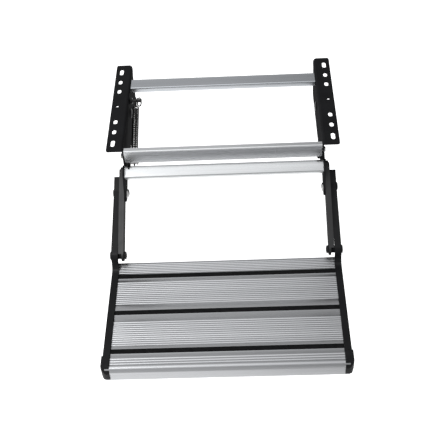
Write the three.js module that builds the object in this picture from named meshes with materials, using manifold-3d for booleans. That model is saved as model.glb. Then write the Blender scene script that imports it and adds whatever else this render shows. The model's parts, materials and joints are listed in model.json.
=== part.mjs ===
// Fold-out entrance step: two steel brackets hang from a vehicle floor, a four-bar linkage on each
// side carries one aluminium tread, and an extension spring on the left holds the step out or in.
// Millimetres. +Z is up, the step folds out towards -Y, and X runs across the doorway.
// The origin is the middle of the mounting plane, which is the top of the two bracket flanges.
import * as THREE from 'three';
import { mergeVertices } from 'three/addons/utils/BufferGeometryUtils.js';
import Module from 'manifold-3d';

const wasm = await Module();
wasm.setup();

// ---------------------------------------------------------------- driving dimensions
const STEP_WIDTH = 500;        // outside to outside of the flanges
const BRACKET_LENGTH = 304;
const SHEET = 3;               // bracket sheet thickness
const WEB_INSIDE = 213;        // from the middle plane to the inner face of a web
const WEB_HEIGHT = 84;
const GAP = 0.3;               // between pieces that touch
const BAR = 5;                 // thickness of the arms, links and side plates

const TREAD_REAR = -304;       // rear edge of the tread
const TREAD_FRONT = -582;      // front face of the nose
const TREAD_TOP = -190;
const TREAD_BOTTOM = -225;
const PLANK_PITCH = 97;        // from one grip strip to the next
const STRIP_WIDTH = 11.5;
const STRIP_DEPTH = 4;

const FRONT_PIVOT = { y: -127, z: -82 };
const PIVOT_STEP = { y: 147, z: 44 };  // from a front pivot to its rear one, on web and side plate alike
const ARM_STEP = { y: -174, z: -86 };  // from a web pivot to its side plate pivot, with the step out
const LINK_WIDTH = 22;         // rear links
const ARM_WIDTH = 25;          // front arms
const ARM_FLANGE = 3;
const CLAMP_DISTANCE = 55;     // from the front pivot to the bolt that ties inner plate and arm

const SLOT_X = 237;            // middle of the row of holes in a flange
const SLOT_WIDTH = 9;
const LONG_SLOT = 22.5;
const SHORT_SLOT = 16;
const SLOTS = [
  { y: 126, length: LONG_SLOT },
  { y: 88, length: SHORT_SLOT },
  { y: 54, length: SHORT_SLOT },
];
const SMALL_HOLE = 7;

const TUBE = { wide: 34, thin: 14, wall: 1.8 };
const TIE_BAR = { wide: 28, thin: 14, wall: 1.8, y: -155, z: -62 };
const TUBE_TOP = -5;
const REAR_TUBE_Y = 87;        // middle of the flat rear tube
const FRONT_TUBE_Y = -143;     // middle of the upright front tube

const SPRING_ANCHOR = { y: 36, z: -15 };
const SPRING_X = -199;
const SPRING_LEAN = 3.5;       // how much nearer the middle its front end is
const COIL_RADIUS = 8;
const WIRE = 2.2;

// ---------------------------------------------------------------- derived places
const REAR_PIVOT = { y: FRONT_PIVOT.y + PIVOT_STEP.y, z: FRONT_PIVOT.z + PIVOT_STEP.z };
const LOWER_PIVOT = { y: FRONT_PIVOT.y + ARM_STEP.y, z: FRONT_PIVOT.z + ARM_STEP.z };
const UPPER_PIVOT = { y: REAR_PIVOT.y + ARM_STEP.y, z: REAR_PIVOT.z + ARM_STEP.z };
const ARM_LENGTH = Math.hypot(ARM_STEP.y, ARM_STEP.z);
const ARM_ALONG = { y: ARM_STEP.y / ARM_LENGTH, z: ARM_STEP.z / ARM_LENGTH };
const LUG_REACH = 24;          // from the middle of the tie bar back to the spring pin
const SPRING_PIN = { y: TIE_BAR.y - LUG_REACH * ARM_ALONG.y, z: TIE_BAR.z - LUG_REACH * ARM_ALONG.z };
const CLAMP = {
  y: FRONT_PIVOT.y + CLAMP_DISTANCE * ARM_ALONG.y,
  z: FRONT_PIVOT.z + CLAMP_DISTANCE * ARM_ALONG.z,
};
const WEB_OUTSIDE = WEB_INSIDE + SHEET;
const HALF_WIDTH = STEP_WIDTH / 2;

// Layers from the web outwards, as distances from the middle plane.
const INNER_PLATE = [WEB_OUTSIDE + GAP, WEB_OUTSIDE + GAP + 3];
const ARM = [INNER_PLATE[1] + GAP, INNER_PLATE[1] + GAP + BAR];
const SIDE_PLATE = [241, 241 + BAR];
const CHANNEL_INSIDE = 231.5;  // inner edge of the side plate's flanges

// ---------------------------------------------------------------- materials
const blackSteel = () => new THREE.MeshStandardMaterial({ color: 0x17181b, roughness: 0.45, metalness: 0.3 });
const aluminium = () => new THREE.MeshStandardMaterial({ color: 0xb4b8bc, roughness: 0.35, metalness: 0.9 });
const zinc = () => new THREE.MeshStandardMaterial({ color: 0x8f9294, roughness: 0.4, metalness: 0.9 });
const springSteel = () => new THREE.MeshStandardMaterial({ color: 0x4c4d4c, roughness: 0.4, metalness: 0.8 });
const rubber = () => new THREE.MeshStandardMaterial({ color: 0x121214, roughness: 0.85, metalness: 0 });
const blackPlastic = () => new THREE.MeshStandardMaterial({ color: 0x151619, roughness: 0.6, metalness: 0 });

// ---------------------------------------------------------------- solids
function solid(geometry) {
  const bare = geometry.clone();
  bare.deleteAttribute('normal');
  bare.deleteAttribute('uv');
  const merged = mergeVertices(bare, 1e-4);
  return new wasm.Manifold(new wasm.Mesh({
    numProp: 3,
    vertProperties: merged.attributes.position.array,
    triVerts: Uint32Array.from(merged.index.array),
  }));
}

function surface(body) {
  const mesh = body.getMesh();
  const geometry = new THREE.BufferGeometry();
  geometry.setAttribute('position', new THREE.BufferAttribute(mesh.vertProperties, 3));
  geometry.setIndex(new THREE.BufferAttribute(mesh.triVerts, 1));
  geometry.computeVertexNormals();
  return geometry;
}

const X_AXIS = new THREE.Vector3(1, 0, 0);
const Y_AXIS = new THREE.Vector3(0, 1, 0);
const Z_AXIS = new THREE.Vector3(0, 0, 1);

const pushed = (shape, depth, curveSegments) =>
  new THREE.ExtrudeGeometry(shape, { depth, bevelEnabled: false, curveSegments });

// A (y, z) outline pushed along X between two distances from the middle plane, on one side.
function acrossX(shape, side, [near, far], curveSegments = 6) {
  const geometry = pushed(shape, far - near, curveSegments);
  geometry.applyMatrix4(new THREE.Matrix4().makeBasis(Y_AXIS, Z_AXIS, X_AXIS));
  geometry.translate(side > 0 ? near : -far, 0, 0);
  return solid(geometry);
}

// An (x, z) outline pushed along Y from one place to another.
function alongY(shape, from, to, curveSegments = 6) {
  const geometry = pushed(shape, to - from, curveSegments);
  geometry.applyMatrix4(new THREE.Matrix4().makeBasis(X_AXIS, Z_AXIS, Y_AXIS.clone().negate()));
  geometry.translate(0, to, 0);
  return solid(geometry);
}

// An (x, y) outline pushed up from one height to another.
function alongZ(shape, from, to, curveSegments = 6) {
  const geometry = pushed(shape, to - from, curveSegments);
  geometry.translate(0, 0, from);
  return solid(geometry);
}

// A round or hexagonal bar along X at a pivot, between two distances from the middle plane.
function barX(side, pivot, [near, far], radius, sides = 14) {
  const geometry = new THREE.CylinderGeometry(radius, radius, far - near, sides);
  geometry.rotateZ(Math.PI / 2);
  geometry.translate(side * (near + far) / 2, pivot.y, pivot.z);
  return solid(geometry);
}

function polygon(points) {
  return new THREE.Shape(points.map(([a, b]) => new THREE.Vector2(a, b)));
}

// A rectangle with round corners, centred on a point.
function roundedBox(width, height, radius, centre = [0, 0]) {
  const shape = new THREE.Shape();
  const [right, top] = [width / 2 - radius, height / 2 - radius];
  const corners = [[right, top, 0], [-right, top, 0.5], [-right, -top, 1], [right, -top, 1.5]];
  for (const [x, y, turn] of corners) {
    shape.absarc(centre[0] + x, centre[1] + y, radius, turn * Math.PI, (turn + 0.5) * Math.PI);
  }
  shape.closePath();
  return shape;
}

// The outline of a flat bar with round ends from one (y, z) point to another.
function linkOutline(from, to, radius) {
  const angle = Math.atan2(to.z - from.z, to.y - from.y);
  const shape = new THREE.Shape();
  shape.absarc(from.y, from.z, radius, angle + Math.PI / 2, angle + 1.5 * Math.PI);
  shape.absarc(to.y, to.z, radius, angle - Math.PI / 2, angle + Math.PI / 2);
  shape.closePath();
  return shape;
}

const step = new THREE.Group();
step.name = 'fold_out_step';

function place(name, body, material) {
  const mesh = new THREE.Mesh(surface(body), material);
  mesh.name = name;
  step.add(mesh);
}

const SIDES = [
  { side: -1, label: 'left' },
  { side: 1, label: 'right' },
];
const HOLE = { pivot: 5, clamp: 4, pin: 3.2, screw: 3 };
const holed = (body, side, pivot, layer, radius) =>
  body.subtract(barX(side, pivot, [layer[0] - 1, layer[1] + 1], radius + GAP));

// ---------------------------------------------------------------- brackets
const FRONT_TUBE_END = { y: FRONT_TUBE_Y, z: TUBE_TOP - TUBE.wide / 2 };
const REAR_TUBE_END = { y: REAR_TUBE_Y, z: TUBE_TOP - TUBE.thin / 2 };
const TAB_TOP = TUBE_TOP - TUBE.wide - GAP;

function bracket(side) {
  const bend = 5;
  const profile = new THREE.Shape();
  profile.moveTo(side * HALF_WIDTH, 0);
  profile.lineTo(side * (WEB_INSIDE + bend), 0);
  profile.quadraticCurveTo(side * WEB_INSIDE, 0, side * WEB_INSIDE, -bend);
  profile.lineTo(side * WEB_INSIDE, -WEB_HEIGHT - 20);
  profile.lineTo(side * WEB_OUTSIDE, -WEB_HEIGHT - 20);
  profile.lineTo(side * WEB_OUTSIDE, -SHEET);
  profile.lineTo(side * HALF_WIDTH, -SHEET);
  const half = BRACKET_LENGTH / 2;
  const angle = alongY(profile, -half, half, 3);

  // The web backs the front tube, steps back to clear the tie bar, drops round the front pivot
  // and is cut back at the rear.
  const lobe = 13;
  const web = new THREE.Shape();
  web.moveTo(-half, 1);
  web.lineTo(-half, TAB_TOP - SHEET);
  web.lineTo(-half + 14, TAB_TOP - SHEET - 4);
  web.lineTo(FRONT_PIVOT.y - 7, FRONT_PIVOT.z + 20);
  web.absarc(FRONT_PIVOT.y, FRONT_PIVOT.z, lobe, 0.85 * Math.PI, 1.75 * Math.PI);
  web.lineTo(FRONT_PIVOT.y + 20, -WEB_HEIGHT);
  web.lineTo(half - 44, -WEB_HEIGHT);
  web.quadraticCurveTo(half - 26, -WEB_HEIGHT, half - 24, -WEB_HEIGHT + 18);
  web.lineTo(half - 20, -28);
  web.quadraticCurveTo(half - 16, -10, half, -SHEET - 3);
  web.lineTo(half, 1);
  let body = angle.intersect(acrossX(web, side, [WEB_INSIDE - 1, HALF_WIDTH + 1]));

  // Seen from above, the outer corners have a small radius and the inner rear one a larger one.
  const outer = roundedBox(2 * (HALF_WIDTH - 150), BRACKET_LENGTH, 5, [side * 150, 0]);
  const inner = roundedBox(2 * 100, 2 * BRACKET_LENGTH, 9, [side * (WEB_INSIDE + 100), -half]);
  body = body.intersect(alongZ(outer, -200, 10, 3)).intersect(alongZ(inner, -200, 10, 4));

  for (const { y, length } of SLOTS) {
    for (const end of [-1, 1]) {
      const slot = roundedBox(SLOT_WIDTH, length, SLOT_WIDTH / 2 - 0.01, [side * SLOT_X, end * y]);
      body = body.subtract(alongZ(slot, -SHEET - 1, 1, 5));
    }
  }
  const small = new THREE.Shape();
  small.absarc(side * SLOT_X, 0, SMALL_HOLE / 2, 0, 2 * Math.PI);
  body = body.subtract(alongZ(small, -SHEET - 1, 1, 6));

  // A tab bent in from the web carries the front tube.
  const tab = polygon([
    [side * (WEB_INSIDE - 10), TAB_TOP - SHEET], [side * (WEB_INSIDE + 1), TAB_TOP - SHEET],
    [side * (WEB_INSIDE + 1), TAB_TOP], [side * (WEB_INSIDE - 10), TAB_TOP],
  ]);
  body = body.add(alongY(tab, -half + 1, -half + 15));

  const layer = [WEB_INSIDE, WEB_OUTSIDE];
  body = holed(body, side, FRONT_PIVOT, layer, HOLE.pivot);
  body = holed(body, side, REAR_PIVOT, layer, HOLE.pivot);
  body = holed(body, side, SPRING_ANCHOR, layer, HOLE.clamp);
  body = holed(body, side, FRONT_TUBE_END, layer, HOLE.screw);
  return holed(body, side, REAR_TUBE_END, layer, HOLE.screw);
}

// ---------------------------------------------------------------- tubes
function tubeOutline(width, height, wall, centre) {
  const shape = roundedBox(width, height, 3, centre);
  shape.holes.push(roundedBox(width - 2 * wall, height - 2 * wall, 1.5, centre));
  return shape;
}

function crossTube(shape, reach) {
  const geometry = pushed(shape, 2 * reach, 3);
  geometry.applyMatrix4(new THREE.Matrix4().makeBasis(Y_AXIS, Z_AXIS, X_AXIS));
  geometry.translate(-reach, 0, 0);
  return geometry;
}

function frontTube() {
  const { y, z } = FRONT_TUBE_END;
  return solid(crossTube(tubeOutline(TUBE.thin, TUBE.wide, TUBE.wall, [y, z]), WEB_INSIDE - GAP));
}

function rearTube() {
  const { y, z } = REAR_TUBE_END;
  return solid(crossTube(tubeOutline(TUBE.wide, TUBE.thin, TUBE.wall, [y, z]), WEB_INSIDE - GAP));
}

// A shape drawn round (0, 0) as the section of the tie bar, turned and moved to its place. The bar
// swings with the front arms and its wide side lies along them.
function asTieBar(geometry) {
  geometry.rotateX(Math.atan2(ARM_ALONG.z, ARM_ALONG.y));
  geometry.translate(0, TIE_BAR.y, TIE_BAR.z);
  return solid(geometry);
}

const tieBar = () =>
  asTieBar(crossTube(tubeOutline(TIE_BAR.wide, TIE_BAR.thin, TIE_BAR.wall, [0, 0]), INNER_PLATE[0] - GAP));

// ---------------------------------------------------------------- fasteners
// A headed bolt along X: the head lies between headNear and headFar, the shank runs to tip.
function bolt(side, pivot, head, tip, shank, headRadius, sides = 6) {
  const [near, far] = head;
  const inner = tip < near ? [tip, near + 1] : [far - 1, tip];
  return barX(side, pivot, head, headRadius, sides).add(barX(side, pivot, inner, shank));
}

const ring = (side, pivot, layer, outer, bore, sides = 16) =>
  holed(barX(side, pivot, layer, outer, sides), side, pivot, layer, bore);

// ---------------------------------------------------------------- arms and links
function link(side, from, to, width) {
  let body = acrossX(linkOutline(from, to, width / 2), side, ARM);
  body = holed(body, side, from, ARM, HOLE.pivot);
  return holed(body, side, to, ARM, HOLE.pivot);
}

// The front arm has a flange turned outwards along its upper edge, as far as the side plate.
function frontArm(side) {
  const at = (along, up) => [
    FRONT_PIVOT.y + along * ARM_ALONG.y + up * ARM_ALONG.z,
    FRONT_PIVOT.z + along * ARM_ALONG.z - up * ARM_ALONG.y,
  ];
  const top = ARM_WIDTH / 2;
  const flange = polygon([
    at(0, top), at(ARM_LENGTH, top), at(ARM_LENGTH, top - ARM_FLANGE), at(0, top - ARM_FLANGE),
  ]);
  let body = link(side, FRONT_PIVOT, LOWER_PIVOT, ARM_WIDTH);
  body = body.add(acrossX(flange, side, [ARM[1] - 1, CHANNEL_INSIDE - GAP]));
  return holed(body, side, CLAMP, ARM, HOLE.clamp);
}

// The inner plate doubles the top of the front arm and holds one end of the tie bar.
function innerPlate(side) {
  const radius = 16;
  let body = acrossX(linkOutline(FRONT_PIVOT, CLAMP, radius), side, INNER_PLATE);
  body = body.add(acrossX(linkOutline(FRONT_PIVOT, TIE_BAR, radius), side, INNER_PLATE));
  body = body.add(acrossX(linkOutline(TIE_BAR, CLAMP, radius), side, INNER_PLATE));
  body = holed(body, side, FRONT_PIVOT, INNER_PLATE, HOLE.pivot);
  return holed(body, side, CLAMP, INNER_PLATE, HOLE.clamp);
}

// A lug on the back edge of the tie bar carries the spring pin.
const LUG = [204.5, 208.5];

function springLug() {
  const { y, z, wide, thin } = TIE_BAR;
  const root = { y: y - ARM_ALONG.y * 10, z: z - ARM_ALONG.z * 10 };
  const body = acrossX(linkOutline(root, SPRING_PIN, 8.5), -1, LUG);
  const bar = asTieBar(crossTube(roundedBox(wide + 2 * GAP, thin + 2 * GAP, 3), WEB_INSIDE));
  return holed(body.subtract(bar), -1, SPRING_PIN, LUG, HOLE.pin);
}

// ---------------------------------------------------------------- tread
// The side plate is one pressed plate with a tail that rises to the rear link. A flange turned in
// along its whole upper edge, and another below the planks, make it a channel for the plank ends.
const CAP_LENGTH = 34;
const FLANGE = 2.5;
const TAIL = { past: 33, half: 17 };
const SHOULDER = 15;           // radius of the plate round the lower pivot
const CHEEK_TOP = TREAD_TOP + GAP + FLANGE;
const PLATE_FRONT = TREAD_FRONT + CAP_LENGTH;
const TAIL_RISE = Math.atan2(UPPER_PIVOT.z - TREAD_TOP, UPPER_PIVOT.y - TREAD_REAR);

// A point measured from the upper pivot, along the tail and square to it.
function onTail(along, up) {
  const [sin, cos] = [Math.sin(TAIL_RISE), Math.cos(TAIL_RISE)];
  return [UPPER_PIVOT.y + along * cos - up * sin, UPPER_PIVOT.z + along * sin + up * cos];
}

// The upper edge of the side plate from tail to front, moved inwards by a depth.
function upperEdge(shape, past, depth) {
  const lean = Math.atan2(PIVOT_STEP.z, PIVOT_STEP.y) + Math.PI / 2;
  const top = CHEEK_TOP - depth;
  shape.lineTo(...onTail(past, TAIL.half - depth));
  shape.lineTo(...onTail(0, TAIL.half - depth));
  shape.absarc(LOWER_PIVOT.y, LOWER_PIVOT.z, SHOULDER - depth, lean, 0.94 * Math.PI);
  shape.quadraticCurveTo(TREAD_REAR - 14, top, TREAD_REAR - 30, top);
}

function sidePlate(side) {
  const outline = new THREE.Shape();
  outline.moveTo(PLATE_FRONT, TREAD_BOTTOM);
  outline.lineTo(TREAD_REAR + 4, TREAD_BOTTOM);
  outline.quadraticCurveTo(TREAD_REAR + 34, TREAD_BOTTOM + 4, TREAD_REAR + 62, TREAD_BOTTOM + 30);
  outline.lineTo(...onTail(TAIL.past, -TAIL.half));
  upperEdge(outline, TAIL.past, 0);
  outline.lineTo(PLATE_FRONT, CHEEK_TOP);

  const hollow = new THREE.Shape();
  hollow.moveTo(...onTail(TAIL.past + 7, -150));
  upperEdge(hollow, TAIL.past + 7, FLANGE);
  hollow.lineTo(PLATE_FRONT - 1, CHEEK_TOP - FLANGE);
  hollow.lineTo(PLATE_FRONT - 1, TREAD_BOTTOM + FLANGE);
  hollow.lineTo(TREAD_REAR, TREAD_BOTTOM + FLANGE);
  hollow.lineTo(TREAD_REAR, TREAD_BOTTOM - 20);

  let body = acrossX(outline, side, [CHANNEL_INSIDE, SIDE_PLATE[1]]);
  body = body.subtract(acrossX(hollow, side, [CHANNEL_INSIDE - 1, SIDE_PLATE[0]]));
  body = holed(body, side, LOWER_PIVOT, SIDE_PLATE, HOLE.pivot);
  return holed(body, side, UPPER_PIVOT, SIDE_PLATE, HOLE.pivot);
}

// Grip strips lie in grooves between neighbouring planks; each plank carries half of a groove floor.
const FIRST_STRIP = TREAD_REAR - 38.75;
const SKIN = 3;
const SKIRT = 26;
const PLANK_REACH = SIDE_PLATE[0] - GAP;
const LEDGE = STRIP_WIDTH / 2 - GAP / 2;       // how far a plank reaches under a grip strip
const LEDGE_TOP = TREAD_TOP - STRIP_DEPTH;
const UNDERSIDE = LEDGE_TOP - 2.2;

// A plank from its rear to its front edge, open below, with a skirt at each edge and one rib.
function plankOutline(rear, front, hasRearGroove, hasFrontGroove) {
  const foot = TREAD_TOP - SKIRT;
  const middle = (rear + front) / 2;
  const rearGroove = [
    [rear, LEDGE_TOP], [rear + LEDGE, LEDGE_TOP], [rear + LEDGE, UNDERSIDE], [rear, UNDERSIDE],
  ];
  const frontGroove = [
    [front, UNDERSIDE], [front - LEDGE, UNDERSIDE], [front - LEDGE, LEDGE_TOP], [front, LEDGE_TOP],
  ];
  return polygon([
    [rear, TREAD_TOP], ...(hasRearGroove ? rearGroove : []), [rear, foot],
    [rear - SKIN, foot], [rear - SKIN, UNDERSIDE],
    [middle + 1.5, UNDERSIDE], [middle + 1.5, foot + 6], [middle - 1.5, foot + 6], [middle - 1.5, UNDERSIDE],
    [front + SKIN, UNDERSIDE], [front + SKIN, foot],
    [front, foot], ...(hasFrontGroove ? frontGroove : []), [front, TREAD_TOP],
  ]);
}

function nosePlankOutline(rear) {
  const bottom = TREAD_BOTTOM + FLANGE + GAP;
  const shape = new THREE.Shape();
  shape.moveTo(rear, TREAD_TOP);
  shape.lineTo(TREAD_FRONT + 7, TREAD_TOP);
  shape.absarc(TREAD_FRONT + 7, TREAD_TOP - 7, 7, Math.PI / 2, Math.PI);
  shape.lineTo(TREAD_FRONT, bottom);
  shape.lineTo(TREAD_FRONT + 12, bottom);
  shape.lineTo(TREAD_FRONT + 12, bottom + SKIN);
  shape.lineTo(TREAD_FRONT + SKIN, bottom + SKIN);
  shape.lineTo(TREAD_FRONT + SKIN, UNDERSIDE - 3);
  shape.lineTo(TREAD_FRONT + SKIN + 3, UNDERSIDE);
  shape.lineTo(rear - SKIN, UNDERSIDE);
  shape.lineTo(rear - SKIN, TREAD_TOP - SKIRT);
  shape.lineTo(rear, TREAD_TOP - SKIRT);
  shape.lineTo(rear, UNDERSIDE);
  shape.lineTo(rear + LEDGE, UNDERSIDE);
  shape.lineTo(rear + LEDGE, LEDGE_TOP);
  shape.lineTo(rear, LEDGE_TOP);
  shape.closePath();
  return shape;
}

const fullWidth = (shape, reach) => solid(crossTube(shape, reach));

function gripStrip(middle) {
  const half = STRIP_WIDTH / 2 - GAP;
  const floor = TREAD_TOP - STRIP_DEPTH + GAP;
  const crown = 0.8;
  return fullWidth(polygon([
    [middle - half, floor], [middle + half, floor], [middle + half, TREAD_TOP],
    [middle + half - crown, TREAD_TOP + crown], [middle - half + crown, TREAD_TOP + crown],
    [middle - half, TREAD_TOP],
  ]), CHANNEL_INSIDE - GAP);
}

// A moulded cap closes the front of each side plate and wraps the plank ends at the nose.
function noseCap(side) {
  const back = TREAD_FRONT + CAP_LENGTH - GAP;
  const wall = 2.4;
  const outline = polygon([
    [back, TREAD_BOTTOM], [back, CHEEK_TOP], [TREAD_FRONT + 10, CHEEK_TOP], [TREAD_FRONT, TREAD_TOP - 3],
    [TREAD_FRONT - wall, TREAD_TOP - 9], [TREAD_FRONT - wall, TREAD_BOTTOM + 8],
    [TREAD_FRONT + 6, TREAD_BOTTOM],
  ]);
  const inside = polygon([
    [back + 1, TREAD_BOTTOM + FLANGE], [back + 1, TREAD_TOP + GAP], [TREAD_FRONT + 7, TREAD_TOP + GAP],
    [TREAD_FRONT + 1.6, TREAD_TOP - 1.2], [TREAD_FRONT - GAP, TREAD_TOP - 6.5],
    [TREAD_FRONT - GAP, TREAD_BOTTOM + FLANGE],
  ]);
  const wide = HALF_WIDTH - 1.5;
  const body = acrossX(outline, side, [CHANNEL_INSIDE, wide]);

  // The outer front corner is round seen from above, and the outer face leans in towards the bottom.
  const plan = roundedBox(2 * (wide - 150), 2 * (-TREAD_FRONT + wall - 400), 12, [side * 150, -400]);
  const section = polygon([
    [side * 200, TREAD_TOP + 10], [side * wide, TREAD_TOP + 10], [side * wide, TREAD_TOP - 15],
    [side * (wide - 5), TREAD_BOTTOM], [side * 200, TREAD_BOTTOM],
  ]);
  return body.subtract(acrossX(inside, side, [CHANNEL_INSIDE - 1, SIDE_PLATE[0]]))
    .intersect(alongZ(plan, -300, 0))
    .intersect(alongY(section, TREAD_FRONT - 10, PLATE_FRONT));
}

// ---------------------------------------------------------------- spring
// The spring lies between the anchor bolt and the spring pin. It is drawn along +Y and then put there.
const SPRING_START = new THREE.Vector3(SPRING_X, SPRING_ANCHOR.y, SPRING_ANCHOR.z);
const SPRING_END = new THREE.Vector3(SPRING_X + SPRING_LEAN, SPRING_PIN.y, SPRING_PIN.z);
const SPRING_LENGTH = SPRING_START.distanceTo(SPRING_END);
const SPRING_TURN = new THREE.Quaternion().setFromUnitVectors(
  Y_AXIS, SPRING_END.clone().sub(SPRING_START).normalize(),
);
const EYE = 6.6;
const SHANK = 19;

function asSpring(body) {
  const geometry = surface(body);
  geometry.applyQuaternion(SPRING_TURN);
  geometry.translate(SPRING_START.x, SPRING_START.y, SPRING_START.z);
  return solid(geometry);
}

// An eye round one end of the spring and the straight wire from it to the coils.
function eyeAndShank(centre, direction) {
  const loop = new THREE.TorusGeometry(EYE, WIRE / 2, 6, 16);
  loop.rotateY(Math.PI / 2);
  loop.translate(0, centre, 0);
  const rod = new THREE.CylinderGeometry(WIRE / 2, WIRE / 2, SHANK - EYE, 8);
  rod.translate(0, centre + direction * (SHANK + EYE) / 2, 0);
  return solid(loop).add(solid(rod));
}

// Coils as a row of round ridges, with the eye that goes round the anchor bolt.
function springCoil() {
  const coils = 27;
  const groove = COIL_RADIUS - 0.9;
  const pitch = (SPRING_LENGTH - 2 * SHANK) / coils;
  const points = [new THREE.Vector2(0, SHANK - 0.5)];
  for (let i = 0; i < coils; i += 1) {
    points.push(new THREE.Vector2(groove, SHANK + i * pitch));
    points.push(new THREE.Vector2(COIL_RADIUS, SHANK + (i + 0.5) * pitch));
  }
  const end = SPRING_LENGTH - SHANK - GAP;
  points.push(new THREE.Vector2(groove, end), new THREE.Vector2(0, end));
  return asSpring(solid(new THREE.LatheGeometry(points, 12)).add(eyeAndShank(0, 1)));
}

// A wire ring hangs on the anchor bolt beside the spring eye.
function wireRing() {
  const loop = new THREE.TorusGeometry(9.5, 1.1, 6, 18);
  loop.rotateY(Math.PI / 2 - 0.3);
  loop.translate(-192, SPRING_ANCHOR.y, SPRING_ANCHOR.z - 4);
  return solid(loop);
}

// ---------------------------------------------------------------- assembly
const tubeScrew = (side, end) =>
  bolt(side, end, [WEB_OUTSIDE + GAP, WEB_OUTSIDE + 4], WEB_INSIDE - 14, HOLE.screw, 6);

for (const { side, label } of SIDES) {
  place(`bracket_${label}`, bracket(side), blackSteel());
  place(`front_tube_screw_${label}`, tubeScrew(side, FRONT_TUBE_END), zinc());
  place(`rear_tube_screw_${label}`, tubeScrew(side, REAR_TUBE_END), zinc());
}
place('front_cross_tube', frontTube(), aluminium());
place('rear_cross_tube', rearTube(), aluminium());

// Bolts through the web have their heads inside and nuts outside.
const WEB_HEAD = [WEB_INSIDE - 4.3, WEB_INSIDE - GAP];
const ARM_NUT = [ARM[1] + GAP, ARM[1] + 5];
const NUT_RADIUS = 9;
const BOLT_TIP = ARM[1] + 6.5;

for (const { side, label } of SIDES) {
  place(`front_arm_${label}`, frontArm(side), blackSteel());
  place(`inner_plate_${label}`, innerPlate(side), blackSteel());
  place(`front_pivot_bolt_${label}`, bolt(side, FRONT_PIVOT, WEB_HEAD, BOLT_TIP, HOLE.pivot, 9, 14), zinc());
  place(`front_pivot_nut_${label}`, ring(side, FRONT_PIVOT, ARM_NUT, NUT_RADIUS, HOLE.pivot, 6), zinc());
  const clampHead = [INNER_PLATE[0] - 4, INNER_PLATE[0] - GAP];
  place(`clamp_bolt_${label}`, bolt(side, CLAMP, clampHead, BOLT_TIP, HOLE.clamp, 8, 14), zinc());
  place(`clamp_nut_${label}`, ring(side, CLAMP, ARM_NUT, NUT_RADIUS, HOLE.clamp, 6), zinc());
}
place('tie_bar', tieBar(), aluminium());
place('spring_lug', springLug(), blackSteel());
const pinTip = 189;
place('spring_pin', bolt(-1, SPRING_PIN, [pinTip - 2.5, pinTip], LUG[1] - 0.2, HOLE.pin, 5.5, 12), zinc());

for (const { side, label } of SIDES) {
  place(`rear_link_${label}`, link(side, REAR_PIVOT, UPPER_PIVOT, LINK_WIDTH), blackSteel());
  place(`rear_pivot_spacer_${label}`, ring(side, REAR_PIVOT, INNER_PLATE, 9, HOLE.pivot), zinc());
  place(`rear_pivot_bolt_${label}`, bolt(side, REAR_PIVOT, WEB_HEAD, BOLT_TIP, HOLE.pivot, 10.5, 16), zinc());
  place(`rear_pivot_nut_${label}`, ring(side, REAR_PIVOT, ARM_NUT, NUT_RADIUS, HOLE.pivot, 6), zinc());
}

const bush = [ARM[1] + GAP, SIDE_PLATE[0] - GAP];
const innerNut = [ARM[0] - 5, ARM[0] - GAP];
const OUTER_HEAD = [SIDE_PLATE[1] + GAP, HALF_WIDTH];
for (const { side, label } of SIDES) {
  place(`side_plate_${label}`, sidePlate(side), blackSteel());
  place(`nose_cap_${label}`, noseCap(side), blackPlastic());
  for (const [name, pivot] of [['lower', LOWER_PIVOT], ['upper', UPPER_PIVOT]]) {
    const tip = innerNut[0] - 1;
    place(`${name}_pivot_bolt_${label}`, bolt(side, pivot, OUTER_HEAD, tip, HOLE.pivot, 9, 14), zinc());
    place(`${name}_pivot_bush_${label}`, ring(side, pivot, bush, 7.5, HOLE.pivot), blackPlastic());
    place(`${name}_pivot_nut_${label}`, ring(side, pivot, innerNut, NUT_RADIUS, HOLE.pivot, 6), zinc());
  }
}

const strips = [0, 1, 2].map((i) => FIRST_STRIP - i * PLANK_PITCH);
const half = STRIP_WIDTH / 2;
const planks = [
  plankOutline(TREAD_REAR, strips[0] + half, false, true),
  plankOutline(strips[0] - half, strips[1] + half, true, true),
  plankOutline(strips[1] - half, strips[2] + half, true, true),
  nosePlankOutline(strips[2] - half),
];
planks.forEach((outline, i) => place(`plank_${i + 1}`, fullWidth(outline, PLANK_REACH), aluminium()));
strips.forEach((middle, i) => place(`grip_strip_${i + 1}`, gripStrip(middle), rubber()));

place('spring_coil', springCoil(), springSteel());
place('spring_hook', asSpring(eyeAndShank(SPRING_LENGTH, -1)), springSteel());
place('wire_ring', wireRing(), springSteel());
const anchorHead = [WEB_OUTSIDE + GAP, WEB_OUTSIDE + 5];
const anchorNut = [WEB_INSIDE - 6, WEB_INSIDE - GAP];
place('spring_anchor_bolt', bolt(-1, SPRING_ANCHOR, anchorHead, 186, HOLE.clamp, 7.5), zinc());
place('spring_anchor_nut', ring(-1, SPRING_ANCHOR, anchorNut, 7.5, HOLE.clamp, 6), zinc());

export default step;
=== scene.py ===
"""Looks for a fold-out entrance step: camera, light, materials and the pieces that need finer shapes."""
import json
import math

import bpy
from mathutils import Matrix, Vector

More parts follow.
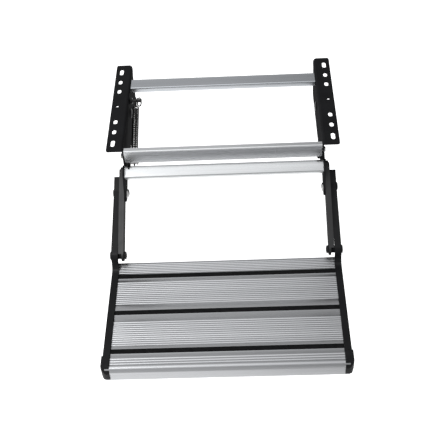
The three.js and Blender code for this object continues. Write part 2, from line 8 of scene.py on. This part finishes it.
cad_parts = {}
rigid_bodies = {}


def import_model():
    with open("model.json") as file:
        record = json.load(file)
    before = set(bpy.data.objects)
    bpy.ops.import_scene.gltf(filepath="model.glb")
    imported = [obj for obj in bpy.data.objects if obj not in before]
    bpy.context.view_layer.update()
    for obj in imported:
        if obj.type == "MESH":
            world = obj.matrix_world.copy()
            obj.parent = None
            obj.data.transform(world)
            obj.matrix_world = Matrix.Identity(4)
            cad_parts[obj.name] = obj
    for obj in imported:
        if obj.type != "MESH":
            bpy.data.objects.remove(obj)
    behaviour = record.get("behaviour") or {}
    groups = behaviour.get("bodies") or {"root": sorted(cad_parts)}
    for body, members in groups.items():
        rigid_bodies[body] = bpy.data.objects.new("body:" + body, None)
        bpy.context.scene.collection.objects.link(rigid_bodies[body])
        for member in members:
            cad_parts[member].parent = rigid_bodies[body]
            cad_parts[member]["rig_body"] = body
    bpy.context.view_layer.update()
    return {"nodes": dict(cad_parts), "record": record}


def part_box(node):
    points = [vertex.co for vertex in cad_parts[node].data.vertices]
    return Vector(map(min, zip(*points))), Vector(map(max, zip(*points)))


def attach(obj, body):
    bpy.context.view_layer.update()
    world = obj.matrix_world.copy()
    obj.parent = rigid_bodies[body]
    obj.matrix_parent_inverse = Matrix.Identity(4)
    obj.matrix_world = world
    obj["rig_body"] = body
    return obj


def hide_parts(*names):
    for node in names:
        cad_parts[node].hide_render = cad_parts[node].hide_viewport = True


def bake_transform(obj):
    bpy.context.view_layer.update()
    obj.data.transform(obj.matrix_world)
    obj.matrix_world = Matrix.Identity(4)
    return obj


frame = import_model()
MM = 0.001                     # the sizes of pieces below are in mm

# ------------------------------------------------------------------ node helpers


class Nodes:
    """Builds one material with short calls. Positions are measured in the object's own space, in metres."""

    def __init__(self, name):
        self.material = bpy.data.materials.new(name)
        self.material.use_nodes = True
        self.tree = self.material.node_tree
        self.shader = self.tree.nodes["Principled BSDF"]
        self.place = self.add("ShaderNodeTexCoord").outputs["Object"]

    def add(self, kind, **settings):
        node = self.tree.nodes.new(kind)
        for key, value in settings.items():
            setattr(node, key, value)
        return node

    def link(self, source, target):
        self.tree.links.new(source, target)

    def noise(self, scale, detail=3.0, stretch=(1, 1, 1)):
        """Noise with about scale features per metre, or fewer along an axis whose stretch is below 1."""
        mapping = self.add("ShaderNodeMapping")
        mapping.inputs["Scale"].default_value = stretch
        self.link(self.place, mapping.inputs["Vector"])
        texture = self.add("ShaderNodeTexNoise")
        texture.inputs["Scale"].default_value = scale
        texture.inputs["Detail"].default_value = detail
        self.link(mapping.outputs["Vector"], texture.inputs["Vector"])
        return texture.outputs["Fac"]

    def between(self, value, low, high, start=0.35, end=0.65):
        """A number from low to high as value goes from start to end."""
        node = self.add("ShaderNodeMapRange")
        node.inputs["From Min"].default_value = start
        node.inputs["From Max"].default_value = end
        node.inputs["To Min"].default_value = low
        node.inputs["To Max"].default_value = high
        self.link(value, node.inputs["Value"])
        return node.outputs["Result"]

    def colour(self, value, dark, light, start=0.35, end=0.65):
        """A colour from dark to light as value goes from start to end."""
        ramp = self.add("ShaderNodeValToRGB")
        first, last = ramp.color_ramp.elements
        first.position, first.color = start, (*dark, 1)
        last.position, last.color = end, (*light, 1)
        self.link(value, ramp.inputs["Fac"])
        self.link(ramp.outputs["Color"], self.shader.inputs["Base Color"])

    def relief(self, layers, edge=0.0):
        """Bumps, each (height, depth in metres, strength), over normals that are rounded at edges."""
        normal = None
        if edge:
            bevel = self.add("ShaderNodeBevel", samples=4)
            bevel.inputs["Radius"].default_value = edge
            normal = bevel.outputs["Normal"]
        for height, depth, strength in layers:
            bump = self.add("ShaderNodeBump")
            bump.inputs["Distance"].default_value = depth
            bump.inputs["Strength"].default_value = strength
            self.link(height, bump.inputs["Height"])
            if normal:
                self.link(normal, bump.inputs["Normal"])
            normal = bump.outputs["Normal"]
        self.link(normal, self.shader.inputs["Normal"])

    def set(self, **values):
        for key, value in values.items():
            self.shader.inputs[key.replace("_", " ")].default_value = value

    def sheen(self, share, rough):
        """Mirrors the same small share of the light at every angle, so that walls seen edge-on stay dark.
        It comes after relief, whose bumps it shares."""
        self.set(Specular_IOR_Level=0.0)
        gloss = self.add("ShaderNodeBsdfGlossy")
        spread = 0.06
        roughness = self.between(self.noise(60, 5), rough - spread, rough + spread)
        self.link(roughness, gloss.inputs["Roughness"])
        bumps = self.shader.inputs["Normal"].links[0].from_socket
        self.link(bumps, gloss.inputs["Normal"])
        both = self.add("ShaderNodeMixShader")
        both.inputs["Fac"].default_value = share
        self.link(self.shader.outputs["BSDF"], both.inputs[1])
        self.link(gloss.outputs["BSDF"], both.inputs[2])
        self.link(both.outputs["Shader"], self.tree.nodes["Material Output"].inputs["Surface"])

    def roughness(self, value, low, high):
        self.link(self.between(value, low, high), self.shader.inputs["Roughness"])


def powder_coat(name, share):
    """Black coat with a fine orange peel over slow waves. share is how much of the light it mirrors."""
    m = Nodes(name)
    m.colour(m.noise(14), (0.004, 0.0041, 0.0048), (0.007, 0.0072, 0.0082))
    peel, waves = m.noise(750, 2), m.noise(120, 2)
    m.relief([(peel, 0.00012, 0.35), (waves, 0.0003, 0.12)], edge=0.0007)
    m.sheen(share, 0.4)
    return m.material


def aluminium(name, dark, light, rough):
    """Extruded and anodised: faint die lines run along X, with slow changes of tone between them."""
    m = Nodes(name)
    lines = m.noise(900, 2, (0.004, 1, 1))
    bands = m.noise(60, 2, (0.02, 1, 1))
    m.colour(bands, dark, light, 0.3, 0.7)
    m.roughness(lines, rough - 0.05, rough + 0.06)
    m.set(Metallic=1.0)
    grain, depth = m.noise(700, 2), 0.00002
    m.relief([(lines, depth, 0.5), (grain, depth, 0.25)])
    return m.material


def rubber():
    m = Nodes("grip_rubber")
    m.colour(m.noise(90, 4), (0.0035, 0.0036, 0.004), (0.007, 0.0071, 0.0076))
    m.roughness(m.noise(300, 3), 0.6, 0.8)
    m.set(Specular_IOR_Level=0.12)
    m.relief([(m.noise(1600, 3), 0.00015, 0.5)])
    return m.material


def moulded_plastic():
    m = Nodes("moulded_plastic")
    m.colour(m.noise(40, 3), (0.004, 0.004, 0.0048), (0.0075, 0.0075, 0.0085))
    m.roughness(m.noise(200, 3), 0.45, 0.58)
    m.set(Specular_IOR_Level=0.16)
    m.relief([(m.noise(1300, 4), 0.0001, 0.45)], edge=0.0012)
    return m.material


def plated(name, dark, light, rough, metallic=1.0):
    """Plated or blackened steel: blotchy tone and fine turning marks."""
    m = Nodes(name)
    m.colour(m.noise(350, 5), dark, light)
    m.roughness(m.noise(500, 4), rough - 0.08, rough + 0.1)
    m.set(Metallic=metallic)
    m.relief([(m.noise(1800, 3), 0.00004, 0.4)], edge=0.0003)
    return m.material


COAT = powder_coat("powder_coat", 0.018)
SATIN = powder_coat("satin_coat", 0.05)
TUBE = aluminium("anodised_tube", (0.41, 0.425, 0.445), (0.47, 0.485, 0.505), 0.2)
# A paler copy of the tube aluminium: painted light that makes the front cross tube brighter than the rear
# one.
TUBE_LIT_COPY = aluminium("tube_lit_copy", (0.6, 0.61, 0.62), (0.66, 0.67, 0.68), 0.2)
BAR = aluminium("bright_bar", (0.5, 0.51, 0.515), (0.56, 0.57, 0.575), 0.3)
PLANK = aluminium("anodised_plank", (0.39, 0.395, 0.405), (0.45, 0.455, 0.465), 0.3)
RUBBER = rubber()
PLASTIC = moulded_plastic()
ZINC = plated("zinc_plate", (0.3, 0.3, 0.3), (0.5, 0.5, 0.49), 0.38)
BLACK_BOLT = plated("blackened_bolt", (0.012, 0.012, 0.013), (0.03, 0.03, 0.03), 0.4, 0.6)
SPRING = plated("spring_wire", (0.03, 0.03, 0.03), (0.06, 0.059, 0.057), 0.24)

# ------------------------------------------------------------------ mesh helpers


def make(name, verts, faces, material, body, slot, smooth=32):
    """A mesh piece in metres that rides on a CAD body. Edges sharper than smooth degrees stay sharp."""
    mesh = bpy.data.meshes.new(name)
    mesh.from_pydata([tuple(v) for v in verts], [], faces)
    mesh.validate()
    piece = bpy.data.objects.new(name, mesh)
    bpy.context.scene.collection.objects.link(piece)
    mesh.shade_smooth()
    mesh.set_sharp_from_angle(angle=math.radians(smooth))
    mesh.materials.append(material)
    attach(piece, body)
    return piece


def between_rings(near, far, count):
    """The faces between two rings of count points. near and far are the numbers of their first points."""
    faces = []
    for i in range(count):
        j = (i + 1) % count
        faces.append((near + i, near + j, far + j, far + i))
    return faces


def along_x(name, loops, low, high, *how, smooth=32):
    """Loops of (y, z) points in mm pushed along X: the first is the outside, a second is a bore with as many
    points. Both go anticlockwise seen from +X. how is the material, the body and a slot, which is not used."""
    verts, faces = [], []
    count = len(loops[0])
    for x in (low, high):
        for loop in loops:
            verts += [(x * MM, y * MM, z * MM) for y, z in loop]
    far = count * len(loops)
    for k in range(len(loops)):
        sides = between_rings(k * count, far + k * count, count)
        faces += sides if k == 0 else [side[::-1] for side in sides]
    if len(loops) == 1:
        faces += [tuple(range(count))[::-1], tuple(range(far, far + count))]
    else:
        for i in range(count):
            j = (i + 1) % count
            faces.append((j, i, count + i, count + j))
            faces.append((far + i, far + j, far + count + j, far + count + i))
    return make(name, verts, faces, *how, smooth=smooth)


def angles(start, end, steps):
    """Equally spaced angles in radians, from start to end degrees."""
    return [math.radians(start + (end - start) * i / steps) for i in range(steps + 1)]


def arc(cy, cz, radius, start, end, steps):
    """Points on a circle, from start to end degrees, anticlockwise seen from +X."""
    return [(cy + radius * math.cos(t), cz + radius * math.sin(t)) for t in angles(start, end, steps)]


def rounded(cy, cz, wide, high, radius, tilt=0.0, steps=8):
    """A rectangle with round corners, wide along Y and high along Z, turned about X by tilt radians."""
    points = []
    for quarter, (sy, sz) in enumerate([(1, 1), (-1, 1), (-1, -1), (1, -1)]):
        y, z = sy * (wide / 2 - radius), sz * (high / 2 - radius)
        points += arc(y, z, radius, 90 * quarter, 90 * quarter + 90, steps)
    c, s = math.cos(tilt), math.sin(tilt)
    return [(cy + y * c - z * s, cz + y * s + z * c) for y, z in points]


def revolved(name, rings, x_sign, centre, *how, bored=False, smooth=32):
    """A shape of revolution about X, from rings of (distance from the middle plane, radius), outwards.
    It has flat ends, or a bore where the last ring joins the first."""
    sides = len(rings[0])
    verts, faces = [], []
    for ring in rings:
        for i, (distance, radius) in enumerate(ring):
            t = 2 * math.pi * i / sides
            y, z = centre[0] + radius * math.cos(t), centre[1] + radius * math.sin(t)
            verts.append((x_sign * distance * MM, y * MM, z * MM))
    for k in range(len(rings) if bored else len(rings) - 1):
        after = (k + 1) % len(rings)
        faces += between_rings(k * sides, after * sides, sides)
    if not bored:
        faces += [tuple(range(sides))[::-1], tuple(range(len(verts) - sides, len(verts)))]
    if x_sign < 0:
        faces = [face[::-1] for face in faces]
    return make(name, verts, faces, *how, smooth=smooth)


def hexagon(name, x_sign, near, far, centre, radius, bore, *how):
    """A hexagonal nut with chamfered corners and a bore. radius is to the corners."""
    sides = 48
    flat = radius * math.cos(math.pi / 6)
    face = flat * 0.96             # radius of the flat end faces
    step, chamfer = 0.15, 0.9      # how far the chamfer goes down at the flats, and from there to the corners

    def reach(i):
        t = (i / sides * 6) % 1.0 - 0.5
        return flat / math.cos(t * math.pi / 3)

    down = [chamfer * (reach(i) - flat) / (radius - flat) + step for i in range(sides)]
    rings = [
        [(near, bore)] * sides,
        [(near, face)] * sides,
        [(near + down[i], reach(i)) for i in range(sides)],
        [(far - down[i], reach(i)) for i in range(sides)],
        [(far, face)] * sides,
        [(far, bore)] * sides,
    ]
    return revolved(name, rings, x_sign, centre, *how, bored=True, smooth=25)


def wire(name, path, radius, *how, sides=10, closed=False):
    """A round wire along points in mm."""
    path = [Vector(p) * MM for p in path]
    count = len(path)
    verts, faces = [], []
    normal = None
    for i, p in enumerate(path):
        ahead = path[(i + 1) % count] if closed else path[min(i + 1, count - 1)]
        behind = path[i - 1] if closed or i else path[0]
        along = (ahead - behind).normalized()
        if normal is None:
            normal = along.orthogonal().normalized()
        normal = (normal - along * normal.dot(along)).normalized()
        across = along.cross(normal)
        for k in range(sides):
            t = 2 * math.pi * k / sides
            verts.append(p + (normal * math.cos(t) + across * math.sin(t)) * radius * MM)
    for i in range(count if closed else count - 1):
        after = (i + 1) % count
        faces += between_rings(i * sides, after * sides, sides)
    if not closed:
        faces += [tuple(range(sides))[::-1], tuple(range((count - 1) * sides, count * sides))]
    return make(name, verts, faces, *how, smooth=60)


def middle(node):
    """The centre of a CAD node's box, in mm."""
    low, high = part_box(node)
    return (low + high) / 2 / MM


# ------------------------------------------------------------------ CAD nodes that keep their shape
KEPT = {"bracket": COAT, "front_arm": SATIN, "inner_plate": COAT, "rear_link": COAT, "side_plate": COAT,
        "spring_lug": COAT, "nose_cap": PLASTIC, "lower_pivot_bush": PLASTIC, "upper_pivot_bush": PLASTIC,
        "spring_anchor_bolt": BLACK_BOLT, "rear_pivot_spacer": ZINC}
for name, node in frame["nodes"].items():
    material = KEPT.get(name.removesuffix("_left").removesuffix("_right"), ZINC)
    node.data.materials.clear()
    node.data.materials.append(material)

# ------------------------------------------------------------------ tubes
WALL = 1.8
CORNER = 3                     # outer radius


def tube(node, body, material, tilt=0.0, section=None):
    """A hollow tube in the place of a CAD node. section is the (width, height) of a tilted one."""
    low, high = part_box(node)
    wide, tall = section or ((high.y - low.y) / MM, (high.z - low.z) / MM)
    _, cy, cz = middle(node)
    outer = rounded(cy, cz, wide, tall, CORNER, tilt)
    bore = rounded(cy, cz, wide - 2 * WALL, tall - 2 * WALL, CORNER - WALL, tilt)
    piece = along_x(f"{node}_look", [outer, bore], low.x / MM, high.x / MM, material, body, "aluminium")
    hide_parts(node)


ARM_WIDTH = 25
TIE_BAR_SECTION = (28, 14)     # along the arms and across them
arm_low, arm_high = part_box("front_arm_left")
arm_size = (arm_high - arm_low) / MM
arm_rise = math.atan2(arm_size.z - ARM_WIDTH, arm_size.y - ARM_WIDTH)
tube("rear_cross_tube", "frame", TUBE)
tube("front_cross_tube", "frame", TUBE_LIT_COPY)
tube("tie_bar", "front_arms", BAR, arm_rise, TIE_BAR_SECTION)

# ------------------------------------------------------------------ tread
RIB_PITCH = 5.0
RIB_DEPTH = 0.6
# One rib: how far across its pitch, and how far down, each as a share of the whole.
RIB = [(0.0, 1), (0.1, 0.5), (0.26, 0.1), (0.44, 0), (0.62, 0.1), (0.78, 0.5), (0.88, 1)]
SKIN = 3.0
LEDGE_DOWN = 4.0               # from the top of a plank to the ledge under a grip strip
UNDERSIDE_DOWN = 6.2
SKIRT = 26                     # how deep a plank's edges are
STEM = 3                       # thickness of the rib under the middle of a plank
STEM_UP = 6                    # how far above the plank's foot that rib ends
NOSE_RADIUS = 10
NOSE_RETURN = 12               # how far the nose turns back at its foot
NOSE_GUSSET = 4


def ribs(rear, front, top):
    """The ribbed stretch of a plank's top, as points from its rear edge to its front one."""
    count = round((rear - front) / RIB_PITCH)
    pitch = (rear - front) / count
    points = []
    for i in range(count):
        points += [(rear - (i + share) * pitch, top - down * RIB_DEPTH) for share, down in RIB]
    return points + [(front, top)]


def plank(number, plain):
    """A plank like its CAD node with ribs on top. plain is how wide its rear and front bands are."""
    node = f"plank_{number}"
    low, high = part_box(node)
    top, foot = high.z / MM, low.z / MM
    rear, front = TOP_EDGES[number - 1]
    under, ledge = top - UNDERSIDE_DOWN, top - LEDGE_DOWN
    outline = [(rear, top)] + ribs(rear - plain[0], front + plain[1], top)
    if number == PLANKS:
        inside, turn_end = front + SKIN, front + NOSE_RETURN
        outline += arc(front + NOSE_RADIUS, top - NOSE_RADIUS, NOSE_RADIUS, 90, 180, 12)
        outline += [(front, foot), (turn_end, foot), (turn_end, foot + SKIN), (inside, foot + SKIN)]
        outline += [(inside, under - NOSE_GUSSET), (inside + NOSE_GUSSET, under)]
    else:
        lip = low.y / MM
        outline += [(front, top), (front, ledge), (lip, ledge), (lip, under), (front, under)]
        outline += [(front, top - SKIRT), (front + SKIN, top - SKIRT), (front + SKIN, under)]
        half = (rear + front) / 2
        stem = (half - STEM / 2, half + STEM / 2)
        outline += [(stem[0], under), (stem[0], foot + STEM_UP), (stem[1], foot + STEM_UP), (stem[1], under)]
    outline += [(rear - SKIN, under), (rear - SKIN, top - SKIRT), (rear, top - SKIRT)]
    if number > 1:
        lip = high.y / MM
        outline += [(rear, under), (lip, under), (lip, ledge), (rear, ledge)]
    how = (PLANK, "tread", "aluminium")
    piece = along_x(f"{node}_look", [outline], low.x / MM, high.x / MM, *how, smooth=50)
    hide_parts(node)


CHAMFER_ACROSS, CHAMFER_DOWN = 0.7, 0.8
GROOVES = 4
GROOVE_DEPTH = 0.6
GROOVE = [(0.32, 0), (0.5, 1), (0.68, 0)]      # like RIB


def strip(node):
    """A grip strip with fine grooves along its length."""
    low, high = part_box(node)
    rear, front, top, foot = high.y / MM, low.y / MM, high.z / MM, low.z / MM
    outline = [(rear, foot), (rear, top - CHAMFER_DOWN), (rear - CHAMFER_ACROSS, top)]
    pitch = (rear - front - 2 * CHAMFER_ACROSS) / GROOVES
    for i in range(GROOVES):
        at = rear - CHAMFER_ACROSS - i * pitch
        outline += [(at - share * pitch, top - down * GROOVE_DEPTH) for share, down in GROOVE]
    outline += [(front + CHAMFER_ACROSS, top), (front, top - CHAMFER_DOWN), (front, foot)]
    how = (RUBBER, "tread", "rubber")
    piece = along_x(f"{node}_look", [outline[::-1]], low.x / MM, high.x / MM, *how)
    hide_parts(node)


STRIPS = [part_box(f"grip_strip_{number}") for number in (1, 2, 3)]
PLANKS = len(STRIPS) + 1
STRIP_GAP = 0.3
REAR_EDGES = [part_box("plank_1")[1].y / MM] + [low.y / MM - STRIP_GAP for low, _ in STRIPS]
FRONT_EDGES = [high.y / MM + STRIP_GAP for _, high in STRIPS] + [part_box(f"plank_{PLANKS}")[0].y / MM]
TOP_EDGES = list(zip(REAR_EDGES, FRONT_EDGES))
PLAIN_BANDS = [(2, 3), (8, 16), (16, 8), (8, 14)]       # of each plank, from the rear
for number, plain in enumerate(PLAIN_BANDS, 1):
    plank(number, plain)
for number in (1, 2, 3):
    strip(f"grip_strip_{number}")

# ------------------------------------------------------------------ spring
anchor = middle("spring_anchor_nut")
pin = middle("spring_pin")
WIRE_RADIUS = 1.6
COIL_RADIUS = 8 - WIRE_RADIUS  # to the middle of the wire
REAR_EYE_X, FRONT_EYE_X = -199, -195.5
EYE = 6.6                      # radius of both eyes
REAR_EYE_TURN, REAR_EYE_STEPS = (200, 372), 14
FRONT_EYE_TURN, FRONT_EYE_STEPS = (192, -20), 16
NECK = 4                       # from an eye to the point where its wire bends towards the coil
NECK_RISE = 0.5
SHANK = 15                     # from the middle of an eye to the start of the coil
TURNS, STEPS = 27, 20          # turns of the coil, and points on each
NARROWEST = 0.12               # of the coil's radius, where the coil meets the necks


def spring():
    """The whole spring as one wire, and the middles of its two eyes."""
    start, end = Vector((REAR_EYE_X, anchor.y, anchor.z)), Vector((FRONT_EYE_X, pin.y, pin.z))
    along = (end - start).normalized()
    up = Vector((1, 0, 0)).cross(along).normalized()
    side = along.cross(up)
    length = (end - start).length
    first, last = SHANK, length - SHANK
    points = TURNS * STEPS

    def place(s, x, u):
        return start + along * s + side * x + up * u

    def eye(middle_at, turn, steps):
        return [place(middle_at + EYE * math.cos(t), 0, EYE * math.sin(t)) for t in angles(*turn, steps)]

    path = eye(0, REAR_EYE_TURN, REAR_EYE_STEPS)
    path.append(place(EYE + NECK, 0, NECK_RISE))
    for i in range(points + 1):
        t = 2 * math.pi * i / STEPS
        grow = min(1, i / STEPS, (points - i) / STEPS)
        radius = COIL_RADIUS * max(grow, NARROWEST)
        along_coil = first + (last - first) * i / points
        path.append(place(along_coil, radius * math.sin(t), radius * math.cos(t)))
    path.append(place(length - EYE - NECK, 0, -NECK_RISE))
    path += eye(length, FRONT_EYE_TURN, FRONT_EYE_STEPS)
    piece = wire("extension_spring", path, WIRE_RADIUS, SPRING, "spring", "spring_steel", sides=8)
    return piece, start * MM, end * MM


coil, spring_start, spring_end = spring()
# The coil stretches between two bodies, so it lets go of the one that make() put it on.
coil.parent = None
del coil["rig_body"]
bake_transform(coil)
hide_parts("spring_coil", "spring_hook")

# ------------------------------------------------------------------ D-shaped wire ring on the anchor bolt
RING_WIRE = 1.4
BOW_DEPTH, BOW_HEIGHT = 4.4, 9.6               # half axes of its bow
BACK = [(-3.2, 8.4), (-4.2, 7.0), (-4.2, -7.0), (-3.2, -8.4)]
LEAN, TWIST = math.radians(-45), math.radians(-75)


def d_ring():
    centre = middle("wire_ring")
    tilt = Matrix.Rotation(LEAN, 3, "X") @ Matrix.Rotation(TWIST, 3, "Z")
    outline = [(BOW_DEPTH * math.cos(t), BOW_HEIGHT * math.sin(t)) for t in angles(-80, 80, 14)] + BACK
    path = [centre + tilt @ Vector((0, y, z)) for y, z in outline]
    piece = wire("wire_ring_look", path, RING_WIRE, BLACK_BOLT, "frame", "spring_steel", closed=True)
    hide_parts("wire_ring")


d_ring()

# ------------------------------------------------------------------ bolts and nuts
BODY_OF = {node: body for body, nodes in frame["record"]["behaviour"]["bodies"].items() for node in nodes}
SIGN = {"left": -1, "right": 1}
BOLT_SIDES = 40
M10, M8 = 5, 4                 # shank radii
CLEARANCE = 0.3                # between a shank and the bore of its nut
TIP = 1                        # chamfer at the end of a shank
# A head from its top down: how deep, and the share of its full radius there.
HIGH_DOME = [(0.0, 0.45), (0.5, 0.7), (1.3, 0.9), (2.4, 1.0), (3.4, 1.0)]
LOW_DOME = [(0.0, 0.3), (0.15, 0.6), (0.6, 0.88), (1.4, 1.0), (2.4, 1.0)]


def span(node):
    """How far a node reaches from the middle plane: nearest and furthest, in mm."""
    low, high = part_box(node)
    return sorted((abs(low.x) / MM, abs(high.x) / MM))


def domed_bolt(node, x_sign, head, head_radius, shank_radius, material):
    """A bolt with a domed head at one end (head is 'near' or 'far') and a chamfered tip at the other."""
    near, far = span(node)
    _, y, z = middle(node)
    if head == "near":
        profile = [(near + depth, head_radius * share) for depth, share in HIGH_DOME]
        profile += [(near + HIGH_DOME[-1][0], shank_radius), (far - TIP, shank_radius)]
        profile.append((far, shank_radius - TIP))
    else:
        profile = [(near, shank_radius - TIP), (near + TIP, shank_radius)]
        profile.append((far - LOW_DOME[-1][0], shank_radius))
        profile += [(far - depth, head_radius * share) for depth, share in reversed(LOW_DOME)]
    rings = [[point] * BOLT_SIDES for point in profile]
    piece = revolved(f"{node}_look", rings, x_sign, (y, z), material, BODY_OF[node], "zinc_steel")
    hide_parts(node)


def nut(node, x_sign, radius, shank_radius, material):
    near, far = span(node)
    _, y, z = middle(node)
    bore = shank_radius + CLEARANCE
    how = (material, BODY_OF[node], "zinc_steel")
    piece = hexagon(f"{node}_look", x_sign, near, far, (y, z), radius, bore, *how)
    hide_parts(node)


for label, sign in SIGN.items():
    domed_bolt(f"front_pivot_bolt_{label}", sign, "near", 9, M10, BLACK_BOLT)
    domed_bolt(f"rear_pivot_bolt_{label}", sign, "near", 10.5, M10, BLACK_BOLT)
    domed_bolt(f"clamp_bolt_{label}", sign, "near", 8, M8, ZINC)
    nut(f"front_pivot_nut_{label}", sign, 9, M10, BLACK_BOLT)
    nut(f"rear_pivot_nut_{label}", sign, 9, M10, BLACK_BOLT)
    nut(f"clamp_nut_{label}", sign, 9, M8, BLACK_BOLT)
    for place in ("lower", "upper"):
        domed_bolt(f"{place}_pivot_bolt_{label}", sign, "far", 9, M10, BLACK_BOLT)
        nut(f"{place}_pivot_nut_{label}", sign, 9, M10, BLACK_BOLT)
nut("spring_anchor_nut", SIGN["left"], 7.5, M8, BLACK_BOLT)

# ------------------------------------------------------------------ floor, light and camera
FLOOR_REACH, FLOOR_Z = 6.0, -0.9               # in metres
SQUARE = [(-1, -1), (1, -1), (1, 1), (-1, 1)]
floor_mesh = bpy.data.meshes.new("floor")
corners = [(x * FLOOR_REACH, y * FLOOR_REACH, FLOOR_Z) for x, y in SQUARE]
floor_mesh.from_pydata(corners, [], [(0, 1, 2, 3)])
floor = bpy.data.objects.new("floor", floor_mesh)
bpy.context.scene.collection.objects.link(floor)
paper = Nodes("studio_floor")
paper.colour(paper.noise(2), (0.9, 0.9, 0.9), (0.92, 0.92, 0.92))
paper.set(Roughness=0.9, Specular_IOR_Level=0.1, Emission_Color=(1, 1, 1, 1))
# The floor glows with painted light, which fades to painted shade in front of the step, most of all on the
# right.
FADE_DIRECTION = (0.9, -1, 0)
FADE_START, FADE_END = 0.98, 1.4               # where 0.9 x - y is this many metres
FULL_GLOW = 0.75
corner = paper.add("ShaderNodeVectorMath", operation="DOT_PRODUCT")
corner.inputs[1].default_value = FADE_DIRECTION
paper.link(paper.place, corner.inputs[0])
glow = paper.between(corner.outputs["Value"], FULL_GLOW, 0.0, FADE_START, FADE_END)
paper.link(glow, paper.shader.inputs["Emission Strength"])
floor_mesh.materials.append(paper.material)

# The room's brightness by the Z of the direction: 0 is level or below, 1 is straight up.
ROOM = [(0.0, 0.85), (0.45, 0.8), (0.62, 0.66), (0.8, 0.66), (0.93, 1.4), (1.0, 1.9)]
TINT = (1, 1.005, 1.015)
LEFT_STRENGTH, RIGHT_STRENGTH = 1.06, 0.4
LEFT_END, RIGHT_START = -0.02, 0.16            # X of the directions between which the strength changes


def studio_world():
    """A pale room with a bright panel overhead, brighter on the left."""
    world = bpy.data.worlds.new("studio")
    world.use_nodes = True
    tree = world.node_tree
    background = tree.nodes["Background"]
    place = tree.nodes.new("ShaderNodeTexCoord")
    split = tree.nodes.new("ShaderNodeSeparateXYZ")
    tree.links.new(place.outputs["Generated"], split.inputs[0])
    ramp = tree.nodes.new("ShaderNodeValToRGB")
    elements = ramp.color_ramp.elements
    while len(elements) < len(ROOM):
        elements.new(0.5)
    for element, (position, level) in zip(elements, ROOM):
        element.position, element.color = position, (*(level * tone for tone in TINT), 1)
    tree.links.new(split.outputs["Z"], ramp.inputs["Fac"])
    tree.links.new(ramp.outputs["Color"], background.inputs["Color"])
    side = tree.nodes.new("ShaderNodeMapRange")
    side.inputs["From Min"].default_value = LEFT_END
    side.inputs["From Max"].default_value = RIGHT_START
    side.inputs["To Min"].default_value = LEFT_STRENGTH
    side.inputs["To Max"].default_value = RIGHT_STRENGTH
    tree.links.new(split.outputs["X"], side.inputs["Value"])
    tree.links.new(side.outputs["Result"], background.inputs["Strength"])
    bpy.context.scene.world = world


studio_world()


def area_light(name, place, target, size, power):
    """A square lamp of that size at place, turned to target, all in metres. power is in watts."""
    data = bpy.data.lights.new(name, "AREA")
    data.size, data.energy = size, power
    lamp = bpy.data.objects.new(name, data)
    lamp.location = place
    lamp.rotation_euler = (Vector(target) - Vector(place)).to_track_quat("-Z", "Y").to_euler()
    bpy.context.scene.collection.objects.link(lamp)


area_light("key", (-1.6, -0.9, 2.2), (0, -0.2, -0.1), size=1.6, power=22)
area_light("spark", (-1.0, -0.5, 1.6), (-0.2, 0, 0), size=0.25, power=5)

# The camera stands in front of the step and above it, turned a little to the left and rolled.
CAMERA_PLACE = (0.05915, -1.56492, 1.25465)    # in metres
AZIMUTH, ELEVATION, ROLL = (math.radians(a) for a in (3.036, 46.238, -4.011))
FOCAL_PIXELS, IMAGE_PIXELS = 885.9, 440
SENSOR_WIDTH = 36
level_part = math.cos(ELEVATION)
forward = Vector((-math.sin(AZIMUTH) * level_part, math.cos(AZIMUTH) * level_part, -math.sin(ELEVATION)))
level = Vector((math.cos(AZIMUTH), math.sin(AZIMUTH), 0))
upright = level.cross(forward)
right = level * math.cos(ROLL) + upright * math.sin(ROLL)
up = upright * math.cos(ROLL) - level * math.sin(ROLL)
camera_data = bpy.data.cameras.new("camera")
camera_data.sensor_width = SENSOR_WIDTH
camera_data.lens = FOCAL_PIXELS / IMAGE_PIXELS * SENSOR_WIDTH
camera = bpy.data.objects.new("camera", camera_data)
axes = Matrix((right, up, -forward)).transposed().to_4x4()
camera.matrix_world = Matrix.Translation(CAMERA_PLACE) @ axes
bpy.context.scene.collection.objects.link(camera)
bpy.context.scene.camera = camera
bpy.context.scene.view_settings.view_transform = "Standard"
